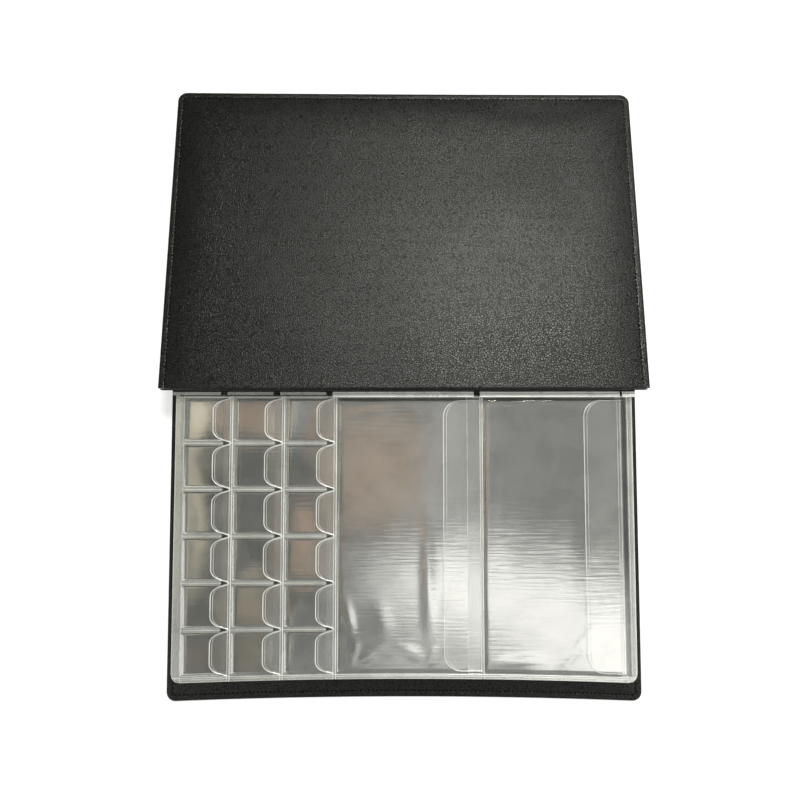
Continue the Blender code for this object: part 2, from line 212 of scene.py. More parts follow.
panel_light("ceiling_panel", (0.31, 0.98, 1.6), (0, 0.15, 0), 0.5, 0.36, 25, (0.98, 1, 0.91))
panel_light("side_panel", (-1.5, -1.0, 1.3), (0, 0.1, 0), 1.8, 1.8, 11, (1, 0.99, 0.97))
panel_light("right_panel", (1.5, -0.4, 1.2), (0, 0.1, 0), 1.6, 1.6, 9, (1, 1, 1))


# Cover sizes. The covers, spine and folds follow the solids' own places.
cover_half = 139 * mm
panel_start = 2.6 * mm
panel_end = 186.0 * mm
corner_round = 5.6 * mm
ridge_y, ridge_height = 90.3 * mm, 26.8 * mm
foot_y, foot_height = 94.3 * mm, 1.7 * mm
fold_rise = ridge_height - foot_height
ridge = Vector((0, ridge_y, ridge_height))
foot = Vector((0, foot_y, foot_height))
lean = math.atan2(foot_y - ridge_y, fold_rise)
slope = math.asin(fold_rise / panel_end)
spine_down = Vector((0, math.sin(lean), -math.cos(lean)))
spine_up = -spine_down
spine_front = Vector((0, -math.cos(lean), -math.sin(lean)))
front_out = Vector((0, math.cos(slope), -math.sin(slope)))
front_up = Vector((0, math.sin(slope), math.cos(slope)))


def edge_steps(total, coarse=2.6 * mm):
    # Distances in from an edge, close together over the rim and the seam
    near = [0, 0.3, 0.8, 1.5, 2.3, 2.9, 3.3, 3.6, 4.0, 4.6, 5.5, 6.7, 8.2, 10, 12.5]
    steps = [value * mm for value in near]
    count = max(2, int((total - steps[-1]) / coarse))
    steps += [steps[-1] + (total - steps[-1]) * (k + 1) / count for k in range(count)]
    return steps


def cover_columns():
    # X places over the cover's length, both rims finely stepped
    inward = edge_steps(cover_half)
    right = [cover_half - step for step in inward]
    return sorted(set([-x for x in right] + right))


def profile(table, distance):
    return float(np.interp(distance / mm, [row[0] for row in table], [row[1] for row in table])) * mm


def edge_slide(x, reach, bow, skew):
    # How far a cover's free edge is drawn in along its middle and slewed from side to side
    share = max(0.0, min(1.0, reach / panel_end))
    return -bow * (1 - (x / cover_half) ** 2) * share ** 2 - skew * x / cover_half * share


def dent_place(x, reach):
    # The dent at the front cover's far right rim: how near its middle a place lies along
    # the cover, and how far the dent has faded in on the way out from the fold
    dent_x, dent_width, dent_start, dent_fade = 80 * mm, 27 * mm, 162 * mm, 20 * mm
    across = math.exp(-((x - dent_x) / dent_width) ** 2)
    fall = max(0.0, min(1.0, (reach - dent_start) / dent_fade))
    return across, fall


def leather_panel(name, rows, outer, inner, shape, bow, skew=0.0, dent=0.0):
    # A closed skin over rows. Each row has its place, its normal, the way out along the cover,
    # its distance in from the free edge and its distance from the fold.
    columns = cover_columns()
    count = len(columns)
    verts, faces = [], []
    for table in (outer, inner):
        for base, normal, along, edge_gap, reach in rows:
            for x in columns:
                side_gap = cover_half - abs(x)
                gap = min(side_gap, edge_gap)
                px, slide = x, 0.0
                dx = corner_round - side_gap
                dv = corner_round - edge_gap
                if dx > 0 and dv > 0:
                    scale = max(dx, dv) / math.hypot(dx, dv)
                    px = math.copysign(cover_half - corner_round + dx * scale, x)
                    slide = dv * scale - dv
                slide += edge_slide(x, reach, bow, skew)
                height = profile(table, gap)
                wave = 0.0
                if gap > 4 * mm:
                    grow = min(1.0, (gap / mm - 4) / 14)
                    wave = grow * shape * noise.noise(Vector((x * 22, reach * 26, 3.1)))
                    if dent:
                        across, fall = dent_place(x, reach)
                        wave -= grow * dent * across * fall * fall * (3 - 2 * fall)
                point = base + normal * (height + wave) + along * slide
                verts.append((px, point.y, point.z))
    total = len(rows)
    size = total * count
    for i in range(total - 1):
        for j in range(count - 1):
            a = i * count + j
            quad = (a, a + 1, a + count + 1, a + count)
            faces.append(quad)
            faces.append(tuple(size + k for k in reversed(quad)))
    ring = [(0, j) for j in range(count)] + [(i, count - 1) for i in range(1, total)]
    ring += [(total - 1, j) for j in range(count - 2, -1, -1)] + [(i, 0) for i in range(total - 2, 0, -1)]
    for k, (i, j) in enumerate(ring):
        i2, j2 = ring[(k + 1) % len(ring)]
        a, b = i * count + j, i2 * count + j2
        faces.append((b, a, size + a, size + b))
    mesh = bpy.data.meshes.new(name)
    mesh.from_pydata(verts, [], faces)
    work = bmesh.new()
    work.from_mesh(mesh)
    bmesh.ops.recalc_face_normals(work, faces=work.faces)
    work.to_mesh(mesh)
    work.free()
    mesh.shade_smooth()
    piece = bpy.data.objects.new(name, mesh)
    scene.collection.objects.link(piece)
    return piece


def pebble_grain():
    # Fine pebbled grain of imitation leather with shallow creases between the cells
    group = bpy.data.node_groups.new("pebble_grain", "ShaderNodeTree")
    for label, way, kind in (("Cell Scale", "INPUT", "Float"), ("Depth", "INPUT", "Float"),
                             ("Normal", "OUTPUT", "Vector"), ("Wear", "OUTPUT", "Float"),
                             ("Pebble", "OUTPUT", "Float")):
        group.interface.new_socket(label, in_out=way, socket_type="NodeSocket" + kind)
    nodes, links = group.nodes, group.links
    gin, gout = nodes.new("NodeGroupInput"), nodes.new("NodeGroupOutput")
    coords = nodes.new("ShaderNodeTexCoord")
    wobble = speckle(nodes, 900, 2)
    shift = nodes.new("ShaderNodeVectorMath")
    shift.operation = "MULTIPLY_ADD"
    shift.inputs[1].default_value = (0.0006, 0.0006, 0.0006)
    links.new(coords.outputs["Object"], wobble.inputs["Vector"])
    links.new(wobble.outputs["Color"], shift.inputs[0])
    links.new(coords.outputs["Object"], shift.inputs[2])
    cells = nodes.new("ShaderNodeTexVoronoi")
    cells.feature = "DISTANCE_TO_EDGE"
    links.new(shift.outputs[0], cells.inputs["Vector"])
    links.new(gin.outputs["Cell Scale"], cells.inputs["Scale"])
    ramp = nodes.new("ShaderNodeValToRGB")
    ramp.color_ramp.elements[0].position = 0.0
    ramp.color_ramp.elements[1].position = 0.22
    links.new(cells.outputs["Distance"], ramp.inputs["Fac"])
    bump = nodes.new("ShaderNodeBump")
    bump.inputs["Distance"].default_value = 0.06 * mm
    links.new(gin.outputs["Depth"], bump.inputs["Strength"])
    fine = speckle(nodes, 2600, 3)
    height = nodes.new("ShaderNodeMath")
    height.operation = "MULTIPLY_ADD"
    height.inputs[1].default_value = 0.7
    links.new(coords.outputs["Object"], fine.inputs["Vector"])
    links.new(fine.outputs["Fac"], height.inputs[0])
    links.new(ramp.outputs["Color"], height.inputs[2])
    links.new(height.outputs[0], bump.inputs["Height"])
    broad = speckle(nodes, 38, 6)
    links.new(coords.outputs["Object"], broad.inputs["Vector"])
    links.new(bump.outputs["Normal"], gout.inputs["Normal"])
    links.new(broad.outputs["Fac"], gout.inputs["Wear"])
    links.new(ramp.outputs["Color"], gout.inputs["Pebble"])
    return group


grain_group = pebble_grain()


def leather(name, dark, light, rough_low, rough_high, depth, cell):
    paint = bpy.data.materials.new(name)
    paint.use_nodes = True
    nodes, links = paint.node_tree.nodes, paint.node_tree.links
    skin = nodes["Principled BSDF"]
    grain = nodes.new("ShaderNodeGroup")
    grain.node_tree = grain_group
    grain.inputs["Cell Scale"].default_value = cell
    grain.inputs["Depth"].default_value = depth
    tone = nodes.new("ShaderNodeMix")
    tone.data_type = "RGBA"
    tone.inputs["A"].default_value = (*dark, 1)
    tone.inputs["B"].default_value = (*light, 1)
    sheen = nodes.new("ShaderNodeMapRange")
    sheen.inputs["To Min"].default_value = rough_low
    sheen.inputs["To Max"].default_value = rough_high
    links.new(grain.outputs["Wear"], tone.inputs["Factor"])
    links.new(grain.outputs["Wear"], sheen.inputs["Value"])
    links.new(tone.outputs["Result"], skin.inputs["Base Color"])
    links.new(sheen.outputs["Result"], skin.inputs["Roughness"])
    links.new(grain.outputs["Normal"], skin.inputs["Normal"])
    shine = nodes.new("ShaderNodeMapRange")
    shine.inputs["To Min"].default_value = 0.1
    shine.inputs["To Max"].default_value = 0.44
    links.new(grain.outputs["Pebble"], shine.inputs["Value"])
    links.new(shine.outputs["Result"], skin.inputs["Specular IOR Level"])
    return paint


lining_leather = leather("lining_leather", (0.003, 0.0032, 0.0026), (0.007, 0.0073, 0.006),
                         0.27, 0.34, 1.0, 820)
outer_leather = leather("outer_leather", (0.004, 0.004, 0.0038), (0.009, 0.009, 0.0085), 0.4, 0.5, 0.9, 900)

# Height from a cover's middle plane against distance in from its edge, in millimetres
lining_top = [(0, 0.05), (0.3, 0.32), (0.8, 0.44), (2.9, 0.46), (3.3, 0.38), (3.6, 0.34), (4.0, 0.42),
              (5.5, 0.6), (8, 0.85), (12, 1.2), (18, 1.52), (26, 1.7)]
lining_under = [(0, -0.3), (3.8, -0.3), (4.6, -0.1), (6, 0.1), (8, 0.35), (12, 0.8), (18, 1.05), (26, 1.15)]
skin_bottom = [(0, 0.62), (0.3, 0.95), (0.8, 1.2), (2.9, 1.25), (3.6, 1.12), (4.2, 1.3), (5.5, 1.5),
               (8, 1.64), (14, 1.7)]
skin_inner = [(0, 0.4), (3.8, 0.45), (5, 0.95), (8, 1.0), (14, 1.1)]


def outward_rows(origin, along, normal):
    # Rows over the flat of a cover, from the fold out to the free edge
    rows = []
    reaches = [panel_end - step for step in edge_steps(panel_end - panel_start)]
    for reach in reversed(reaches):
        rows.append((origin + along * reach, normal, along, panel_end - reach, reach))
    return rows


# Front cover lining. Black pebbled imitation leather over thin foam, sewn to the outer
# skin along three edges and carried over the ridge fold onto the spine.
far_in = 1.0  # rows at a fold count as this far in from the free edge
front_bow, front_skew = 0.3 * mm, 0.9 * mm
rows = []
for step in (9, 7, 5, 3.5, 2, 1):
    rows.append((ridge + spine_down * step * mm, spine_front, front_out, far_in, 0.0))
first, last = math.pi + lean, math.pi / 2 - slope
for k in range(13):
    turn = first + (last - first) * k / 12
    rows.append((ridge.copy(), Vector((0, math.cos(turn), math.sin(turn))), front_out, far_in, 0.0))
rows.append((ridge + front_out * 1.3 * mm, front_up, front_out, far_in, 1.3 * mm))
rows += outward_rows(ridge, front_out, front_up)
front_lining = leather_panel("front_cover_lining_leather", rows, lining_top, lining_under, 0.32 * mm,
                             front_bow, front_skew, 0.9 * mm)
front_lining.data.materials.append(lining_leather)
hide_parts("front_cover_lining")
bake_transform(front_lining)

# Front cover outer skin. The same leather seen from outside, tucked into the fold
# behind the ridge and running a little way down the back of the spine.
front_under = -front_up
rows = []
for step in (9, 6, 4, 3, 2.45):
    rows.append((ridge + spine_down * step * mm, -spine_front, front_out, far_in, 0.0))
rows.append((ridge + front_out * 2.45 * mm, front_under, front_out, far_in, 2.45 * mm))
rows += outward_rows(ridge, front_out, front_under)
front_skin = leather_panel("front_cover_outer_leather", rows, skin_bottom, skin_inner, 0.15 * mm,
                           front_bow, front_skew)
front_skin.data.materials.append(outer_leather)
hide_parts("front_cover_outer_skin")
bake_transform(front_skin)

# Back cover lining. The same padded leather, running up the front of the spine
# behind the binding strip.
back_out, up = Vector((0, -1, 0)), Vector((0, 0, 1))
rows = []
for step in (14, 10, 6, 3.5, 2.2):
    rows.append((foot + spine_up * step * mm, spine_front, back_out, far_in, 0.0))
rows.append((foot + back_out * 2.2 * mm, up, back_out, far_in, 2.2 * mm))
rows += outward_rows(foot, back_out, up)
back_bow = 2.8 * mm
back_lining = leather_panel("back_cover_lining_leather", rows, lining_top, lining_under, 0.0, back_bow)
back_lining.data.materials.append(lining_leather)
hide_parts("back_cover_lining")
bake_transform(back_lining)

# Back cover outer skin. It lies on the table, rolls round the foot of the spine and
# runs up its back.
rows = []
for step in (9, 6, 3, 1):
    rows.append((foot + spine_up * step * mm, -spine_front, back_out, far_in, 0.0))
for k in range(9):
    turn = lean - (lean + math.pi / 2) * k / 8
    rows.append((foot.copy(), Vector((0, math.cos(turn), math.sin(turn))), back_out, far_in, 0.0))
rows += outward_rows(foot, back_out, -up)
back_skin = leather_panel("back_cover_outer_leather", rows, skin_bottom, skin_inner, 0.0, back_bow)
back_skin.data.materials.append(outer_leather)
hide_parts("back_cover_outer_skin")
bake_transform(back_skin)

# Spine skins. Plain leather on both faces of the spine board, overlapped by the
# cover leathers at the ridge and at the foot.
span = (ridge - foot).length
spine_foot_gap, spine_end_gaps = 3.2 * mm, 6.0 * mm
spine_face = [(0, 1.0), (1, 1.6), (4, 1.66)]
spine_face_inner = [(0, 0.9), (4, 1.1)]


def spine_panel(name, normal, paint, node):
    rows = []
    for k in range(9):
        step = spine_foot_gap + (span - spine_end_gaps) * k / 8
        rows.append((foot + spine_up * step, normal, spine_up, far_in, 0.0))
    panel = leather_panel(name, rows, spine_face, spine_face_inner, 0.0, 0.0)
    panel.data.materials.append(paint)
    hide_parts(node)
    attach(panel, "spine")


spine_panel("spine_lining_leather", spine_front, lining_leather, "spine_lining")
spine_panel("spine_outer_leather", -spine_front, outer_leather, "spine_outer_skin")

# Boards. Grey pressed board that stiffens both covers and the spine, hidden inside
# the leather.
board_paint = bpy.data.materials.new("pressed_board")
board_paint.use_nodes = True
nodes, links = board_paint.node_tree.nodes, board_paint.node_tree.links
fibres = speckle(nodes, 700, 6)
coords = nodes.new("ShaderNodeTexCoord")
fibre_tone = nodes.new("ShaderNodeMix")
fibre_tone.data_type = "RGBA"
fibre_tone.inputs["A"].default_value = (0.24, 0.21, 0.17, 1)
fibre_tone.inputs["B"].default_value = (0.4, 0.36, 0.3, 1)
links.new(coords.outputs["Object"], fibres.inputs["Vector"])
links.new(fibres.outputs["Fac"], fibre_tone.inputs["Factor"])
links.new(fibre_tone.outputs["Result"], nodes["Principled BSDF"].inputs["Base Color"])
nodes["Principled BSDF"].inputs["Roughness"].default_value = 0.9
spine_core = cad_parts["spine_board"]
spine_core.data.materials.clear()
spine_core.data.materials.append(board_paint)


def cover_board(name, node, origin, along, normal, bow, skew, body, dent=0.0):
    # A thin board well inside the seam all round, which sinks with the leather at the dent
    inset, board_half, fold_clear = 12 * mm, 0.7 * mm, 5 * mm
    xs = [-cover_half + inset + 2 * (cover_half - inset) * k / 40 for k in range(41)]
    reaches = [fold_clear + (panel_end - inset - fold_clear) * k / 24 for k in range(25)]
    board = bmesh.new()
    layers = []
    for side in (board_half, -board_half):
        grid = []
        for reach in reaches:
            sinks = [dent * math.prod(dent_place(x, reach)) for x in xs]
            places = [origin + along * (reach + edge_slide(x, reach, bow, skew)) + normal * (side - sink)
                      for x, sink in zip(xs, sinks)]
            grid.append([board.verts.new((x, place.y, place.z)) for x, place in zip(xs, places)])
        layers.append(grid)
    upper, lower = layers
    for i in range(len(reaches) - 1):
        for j in range(len(xs) - 1):
            board.faces.new((upper[i][j], upper[i][j + 1], upper[i + 1][j + 1], upper[i + 1][j]))
            board.faces.new((lower[i][j], lower[i + 1][j], lower[i + 1][j + 1], lower[i][j + 1]))
    rows, last = len(reaches), len(xs) - 1
    ring = [(0, j) for j in range(last)] + [(i, last) for i in range(rows - 1)]
    ring += [(rows - 1, j) for j in range(last, 0, -1)] + [(i, 0) for i in range(rows - 1, 0, -1)]
    for (i, j), (i2, j2) in zip(ring, ring[1:] + ring[:1]):
        board.faces.new((upper[i][j], lower[i][j], lower[i2][j2], upper[i2][j2]))
    bmesh.ops.recalc_face_normals(board, faces=board.faces)
    mesh = bpy.data.meshes.new(name)
    board.to_mesh(mesh)
    board.free()
    mesh.materials.append(board_paint)
    piece = bpy.data.objects.new(name, mesh)
    scene.collection.objects.link(piece)
    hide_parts(node)
    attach(piece, body)


cover_board("front_cover_pressed_board", "front_cover_board", ridge, front_out, front_up,
            front_bow, front_skew, "front_cover", 0.4 * mm)
cover_board("back_cover_pressed_board", "back_cover_board", foot, back_out, up,
            back_bow, 0.0, "back_cover")

# Seam thread. Short black stitches in the seam valley of each cover, one every
# 2.4 mm, each a short length of thread that tapers to both ends.
thread_paint = bpy.data.materials.new("black_thread")
thread_paint.use_nodes = True
nodes, links = thread_paint.node_tree.nodes, thread_paint.node_tree.links
twist = nodes.new("ShaderNodeTexWave")
twist.inputs["Scale"].default_value = 900
twist.inputs["Distortion"].default_value = 2
coords = nodes.new("ShaderNodeTexCoord")
twist_tone = nodes.new("ShaderNodeMix")
twist_tone.data_type = "RGBA"
twist_tone.inputs["A"].default_value = (0.001, 0.001, 0.001, 1)
twist_tone.inputs["B"].default_value = (0.004, 0.004, 0.004, 1)
links.new(coords.outputs["Object"], twist.inputs["Vector"])
links.new(twist.outputs["Fac"], twist_tone.inputs["Factor"])
links.new(twist_tone.outputs["Result"], nodes["Principled BSDF"].inputs["Base Color"])
nodes["Principled BSDF"].inputs["Roughness"].default_value = 0.8
nodes["Principled BSDF"].inputs["Specular IOR Level"].default_value = 0.1


def stitch_tree():
    tree = bpy.data.node_groups.new("seam_stitches", "GeometryNodeTree")
    tree.interface.new_socket("Geometry", in_out="INPUT", socket_type="NodeSocketGeometry")
    for label in ("Pitch", "Stitch Length", "Thread Radius"):
        tree.interface.new_socket(label, in_out="INPUT", socket_type="NodeSocketFloat")
    tree.interface.new_socket("Thread", in_out="INPUT", socket_type="NodeSocketMaterial")
    tree.interface.new_socket("Geometry", in_out="OUTPUT", socket_type="NodeSocketGeometry")
    nodes, links = tree.nodes, tree.links
    gin, gout = nodes.new("NodeGroupInput"), nodes.new("NodeGroupOutput")
    line = nodes.new("GeometryNodeMeshToCurve")
    spots = nodes.new("GeometryNodeCurveToPoints")
    spots.mode = "LENGTH"
    ball = nodes.new("GeometryNodeMeshUVSphere")
    ball.inputs["Segments"].default_value = 8
    ball.inputs["Rings"].default_value = 6
    ball.inputs["Radius"].default_value = 1.0
    size = nodes.new("ShaderNodeCombineXYZ")
    halve = nodes.new("ShaderNodeMath")
    halve.operation = "MULTIPLY"
    halve.inputs[1].default_value = 0.5
    place = nodes.new("GeometryNodeInstanceOnPoints")
    real = nodes.new("GeometryNodeRealizeInstances")
    dress = nodes.new("GeometryNodeSetMaterial")
    links.new(gin.outputs["Geometry"], line.inputs["Mesh"])
    links.new(line.outputs["Curve"], spots.inputs["Curve"])
    links.new(gin.outputs["Pitch"], spots.inputs["Length"])
    links.new(spots.outputs["Points"], place.inputs["Points"])
    links.new(spots.outputs["Rotation"], place.inputs["Rotation"])
    links.new(ball.outputs["Mesh"], place.inputs["Instance"])
    links.new(gin.outputs["Stitch Length"], halve.inputs[0])
    links.new(gin.outputs["Thread Radius"], size.inputs["X"])
    links.new(gin.outputs["Thread Radius"], size.inputs["Y"])
    links.new(halve.outputs[0], size.inputs["Z"])
    links.new(size.outputs[0], place.inputs["Scale"])
    links.new(place.outputs["Instances"], real.inputs["Geometry"])
    links.new(real.outputs["Geometry"], dress.inputs["Geometry"])
    links.new(gin.outputs["Thread"], dress.inputs["Material"])
    links.new(dress.outputs["Geometry"], gout.inputs["Geometry"])
    return tree


seam_tree = stitch_tree()


def seam(name, origin, along, normal, bow, skew, body, node):
    inset, lift = 3.6 * mm, 0.4 * mm
    radius = corner_round - inset
    route = []
    x_side, v_end = cover_half - inset, panel_end - inset

    def put(x, reach):
        point = origin + along * (reach + edge_slide(x, reach, bow, skew)) + normal * lift
        route.append((x, point.y, point.z))

    for k in range(40):
        put(-x_side, panel_start + (v_end - radius - panel_start) * k / 40)
    for k in range(9):
        turn = math.pi - math.pi / 2 * k / 8
        put(-x_side + radius + radius * math.cos(turn), v_end - radius + radius * math.sin(turn))
    for k in range(1, 60):
        put(-x_side + radius + 2 * (x_side - radius) * k / 60, v_end)
    for k in range(9):
        turn = math.pi / 2 - math.pi / 2 * k / 8
        put(x_side - radius + radius * math.cos(turn), v_end - radius + radius * math.sin(turn))
    for k in range(1, 41):
        put(x_side, v_end - radius - (v_end - radius - panel_start) * k / 40)
    path = bpy.data.meshes.new(name + "_path")
    path.from_pydata(route, [(k, k + 1) for k in range(len(route) - 1)], [])
    holder = bpy.data.objects.new(name + "_path", path)
    scene.collection.objects.link(holder)
    step = holder.modifiers.new("stitches", "NODES")
    step.node_group = seam_tree
    values = {"Pitch": 2.4 * mm, "Stitch Length": 1.6 * mm, "Thread Radius": 0.42 * mm,
              "Thread": thread_paint}
    for item in seam_tree.interface.items_tree:
        if item.in_out == "INPUT" and item.name in values:
            step[item.identifier] = values[item.name]
    bpy.context.view_layer.update()
    mesh = bpy.data.meshes.new_from_object(holder.evaluated_get(bpy.context.evaluated_depsgraph_get()))
    bpy.data.objects.remove(holder)
    mesh.name = name
    mesh.shade_smooth()
    piece = bpy.data.objects.new(name, mesh)
    scene.collection.objects.link(piece)
    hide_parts(node)
    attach(piece, body)


seam("front_cover_seam_thread", ridge, front_out, front_up, front_bow, front_skew,
     "front_cover", "front_cover_stitching")
seam("back_cover_seam_thread", foot, back_out, up, back_bow, 0.0,
     "back_cover", "back_cover_stitching")

# Binding strip. A dark leather strip standing on the back cover in front of the
# spine, to which the hinge strips of all ten leaves are fixed.
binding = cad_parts["binding_strip"]
binding.data.materials.clear()
binding.data.materials.append(lining_leather)

# Pocket leaves. Each leaf is a clear soft vinyl sheet with front films heat-welded to
# it: three columns of six coin pockets and two long note pockets, mouths to the right.
leaf_half = 132 * mm
leaf_corner = 5 * mm
near_y = -76.5 * mm
far_y = 86.3 * mm
turning_y = 86.4 * mm
row_count = 6
row_low = near_y + 2.6 * mm
row_high = far_y - 0.6 * mm
row_pitch = (row_high - row_low) / row_count
row_lines = [row_low + k * row_pitch for k in range(row_count + 1)]
weld_half = 0.9 * mm
left_inner = 4.8 * mm - leaf_half
right_inner = leaf_half - 7.0 * mm
coin_welds = [5.2 * mm - leaf_half + 27.1 * mm + k * 30.05 * mm for k in range(3)]
coin_mouths = [weld - weld_half - 4.0 * mm for weld in coin_welds]
note_weld = coin_welds[2] + 0.5115 * (right_inner - coin_welds[2])
note_mouths = (note_weld - weld_half - 7.2 * mm, right_inner - 1.6 * mm)
film_thick = 0.14 * mm
front, edge, milky, sheet, tongue = range(5)


def vinyl(name, base, alpha, metal, rough, bump_depth, streak_wide=16):
    paint = bpy.data.materials.new(name)
    paint.use_nodes = True
    nodes, links = paint.node_tree.nodes, paint.node_tree.links
    film = nodes["Principled BSDF"]
    coords = nodes.new("ShaderNodeTexCoord")
    streak_place = nodes.new("ShaderNodeMapping")
    streak_place.inputs["Scale"].default_value = (streak_wide, 620, 60)
    streaks = speckle(nodes, 1.0, 5)
    cloud = speckle(nodes, 55, 5)
    ripple = speckle(nodes, 230, 3)
    haze = nodes.new("ShaderNodeMapRange")
    haze.inputs["From Min"].default_value = 0.3
    haze.inputs["From Max"].default_value = 0.75
    haze.inputs["To Min"].default_value = alpha * 0.85
    haze.inputs["To Max"].default_value = alpha * 1.25
    blur = nodes.new("ShaderNodeMapRange")
    blur.inputs["To Min"].default_value = rough * 0.6
    blur.inputs["To Max"].default_value = rough * 1.6
    heights = nodes.new("ShaderNodeMath")
    heights.operation = "MULTIPLY_ADD"
    heights.inputs[1].default_value = 0.45
    bump = nodes.new("ShaderNodeBump")
    bump.inputs["Distance"].default_value = bump_depth
    bump.inputs["Strength"].default_value = 0.5
    links.new(coords.outputs["Object"], streak_place.inputs["Vector"])
    links.new(streak_place.outputs["Vector"], streaks.inputs["Vector"])
    links.new(coords.outputs["Object"], cloud.inputs["Vector"])
    links.new(coords.outputs["Object"], ripple.inputs["Vector"])
    links.new(cloud.outputs["Fac"], haze.inputs["Value"])
    links.new(cloud.outputs["Fac"], blur.inputs["Value"])
    links.new(ripple.outputs["Fac"], heights.inputs[0])
    links.new(streaks.outputs["Fac"], heights.inputs[2])
    links.new(heights.outputs[0], bump.inputs["Height"])
    links.new(haze.outputs["Result"], film.inputs["Alpha"])
    links.new(blur.outputs["Result"], film.inputs["Roughness"])
    links.new(bump.outputs["Normal"], film.inputs["Normal"])
    film.inputs["Base Color"].default_value = (*base, 1)
    film.inputs["Metallic"].default_value = metal
    return paint


clear_vinyl = vinyl("clear_vinyl", (0.88, 0.88, 0.85), 0.28, 0.95, 0.07, 0.000025)
note_vinyl = vinyl("note_vinyl", (0.88, 0.88, 0.85), 0.28, 0.95, 0.09, 0.00008, 40)
# Pale, nearly opaque finish for the raised weld and edge beads: its pale colour paints the bright glints
# along the clear film's cut edges and weld lines
edge_glint_vinyl = vinyl("vinyl_edges_painted_glint", (0.84, 0.85, 0.82), 0.85, 0.25, 0.25, 0.00002)
milky_vinyl = vinyl("milky_vinyl", (0.84, 0.85, 0.81), 0.22, 0.5, 0.25, 0.00003)
sheet_vinyl = vinyl("sheet_vinyl", (0.86, 0.86, 0.83), 0.06, 0.95, 0.12, 0.00003)
tongue_vinyl = vinyl("tongue_vinyl", (0.9, 0.9, 0.87), 0.32, 0.92, 0.14, 0.00005)


def leaf_shape(x, y):
    # Round near corners, and a near edge drawn in a little along its middle
    side_gap, near_gap = leaf_half - abs(x), y - near_y
    dx, dy = leaf_corner - side_gap, leaf_corner - near_gap
    if dx > 0 and dy > 0:
        scale = max(dx, dy) / math.hypot(dx, dy)
        x = math.copysign(leaf_half - leaf_corner + dx * scale, x)
        y = near_y + leaf_corner - dy * scale
    pull = max(0.0, 1 - near_gap / (70 * mm)) ** 2
    return x, y + 2.6 * mm * pull * (1 - (x / leaf_half) ** 2)


def spread(a, b, step):
    count = max(2, int(abs(b - a) / step) + 2)
    return [a + (b - a) * k / (count - 1) for k in range(count)]


class LeafMesh:
    # Gathers the thin closed films and the rounded weld and edge beads of one piece; the beads' pale finish
    # paints the glints along the film's edges and weld lines
    def __init__(self):
        self.verts, self.faces, self.slots = [], [], []

    def film(self, rows, finish=front, thick=film_thick):
        start, wide, tall = len(self.verts), len(rows[0]), len(rows)
        size = wide * tall
        for drop in (0.0, thick):
            for row in rows:
                self.verts += [(*leaf_shape(x, y), z - drop) for x, y, z in row]
        for j in range(tall - 1):
            for i in range(wide - 1):
                a = start + j * wide + i
                self.faces.append((a, a + 1, a + wide + 1, a + wide))
                self.faces.append((a + size, a + size + wide, a + size + wide + 1, a + size + 1))
        ring = list(range(wide)) + [j * wide + wide - 1 for j in range(1, tall)]
        ring += [(tall - 1) * wide + i for i in range(wide - 2, -1, -1)]
        ring += [j * wide for j in range(tall - 2, 0, -1)]
        for k, i in enumerate(ring):
            a, b = start + i, start + ring[(k + 1) % len(ring)]
            self.faces.append((a + size, b + size, b, a))
        self.slots += [finish] * (len(self.faces) - len(self.slots))

    def band(self, xs, ys, z):
        # A thin milky strip where films are welded together
        self.film([[(x, y, z) for x in xs] for y in ys], milky, 0.08 * mm)

    def bead(self, route, radius):
        start, count = len(self.verts), len(route)
        points = [(*leaf_shape(x, y), z) for x, y, z in route]
        for k, (x, y, z) in enumerate(points):
            before, after = points[max(0, k - 1)], points[min(count - 1, k + 1)]
            dx, dy = after[0] - before[0], after[1] - before[1]
            size = math.hypot(dx, dy) or 1.0
            nx, ny = -dy / size, dx / size
            for side in range(6):
                turn = math.pi / 3 * side
                out, lift = math.cos(turn) * radius, math.sin(turn) * radius * 0.6
                self.verts.append((x - nx * out, y - ny * out, z + lift))
        for k in range(count - 1):
            for side in range(6):
                a, b = start + k * 6 + side, start + k * 6 + (side + 1) % 6
                self.faces.append((a, a + 6, b + 6, b))
        self.faces.append(tuple(start + side for side in range(6)))
        self.faces.append(tuple(start + (count - 1) * 6 + side for side in range(5, -1, -1)))
        # The beads take the edge finish, whose pale colour paints glints on the film's edges and welds
        self.slots += [edge] * (len(self.faces) - len(self.slots))

    def piece(self, name, node, body, face=clear_vinyl):
        mesh = bpy.data.meshes.new(name)
        mesh.from_pydata(self.verts, [], self.faces)
        mesh.polygons.foreach_set("material_index", self.slots)
        for finish in (face, edge_glint_vinyl, milky_vinyl, sheet_vinyl, tongue_vinyl):
            mesh.materials.append(finish)
        mesh.shade_smooth()
        mesh.set_sharp_from_angle(angle=math.radians(65))
        item = bpy.data.objects.new(name, mesh)
        scene.collection.objects.link(item)
        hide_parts(node)
        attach(item, body)


def smooth(value):
    value = max(0.0, min(1.0, value))
    return value * value * (3 - 2 * value)


def hump(x, y, cx, cy, wide, tall, turn, height):
    # A long soft crease centred on cx, cy
    dx, dy = x - cx * mm, y - cy * mm
    u = dx * math.cos(turn) + dy * math.sin(turn)
    v = dy * math.cos(turn) - dx * math.sin(turn)
    return height * mm * math.exp(-(u / (wide * mm)) ** 2 - (v / (tall * mm)) ** 2)


# Creases in the top leaf's note films: place, half width and half length in millimetres,
# turn in radians, and height in millimetres
creases = ((14, -22, 3.4, 27, 0.02, 0.5), (-31, -42, 2.2, 9, 0.2, 0.3), (-29, -62, 2.6, 7, -0.3, 0.28),
           (-22, -64, 3.0, 9, -0.9, 0.16), (5, -62, 3.5, 8, 1.1, 0.2), (16, -64, 2.4, 9, -0.5, 0.2),
           (60, 82, 12, 1.8, 0.05, 0.3), (84, 80, 8, 1.6, -0.1, 0.24), (-22, 81, 10, 1.6, 0.08, 0.22),
           (98, -58, 3.0, 14, -0.6, 0.34), (66, -66, 12, 3.0, 0.1, 0.26), (58, 20, 5, 26, -0.05, 0.12),
           (96, 10, 6, 30, 0.04, 0.12), (-12, -44, 5, 12, 0.2, 0.16))
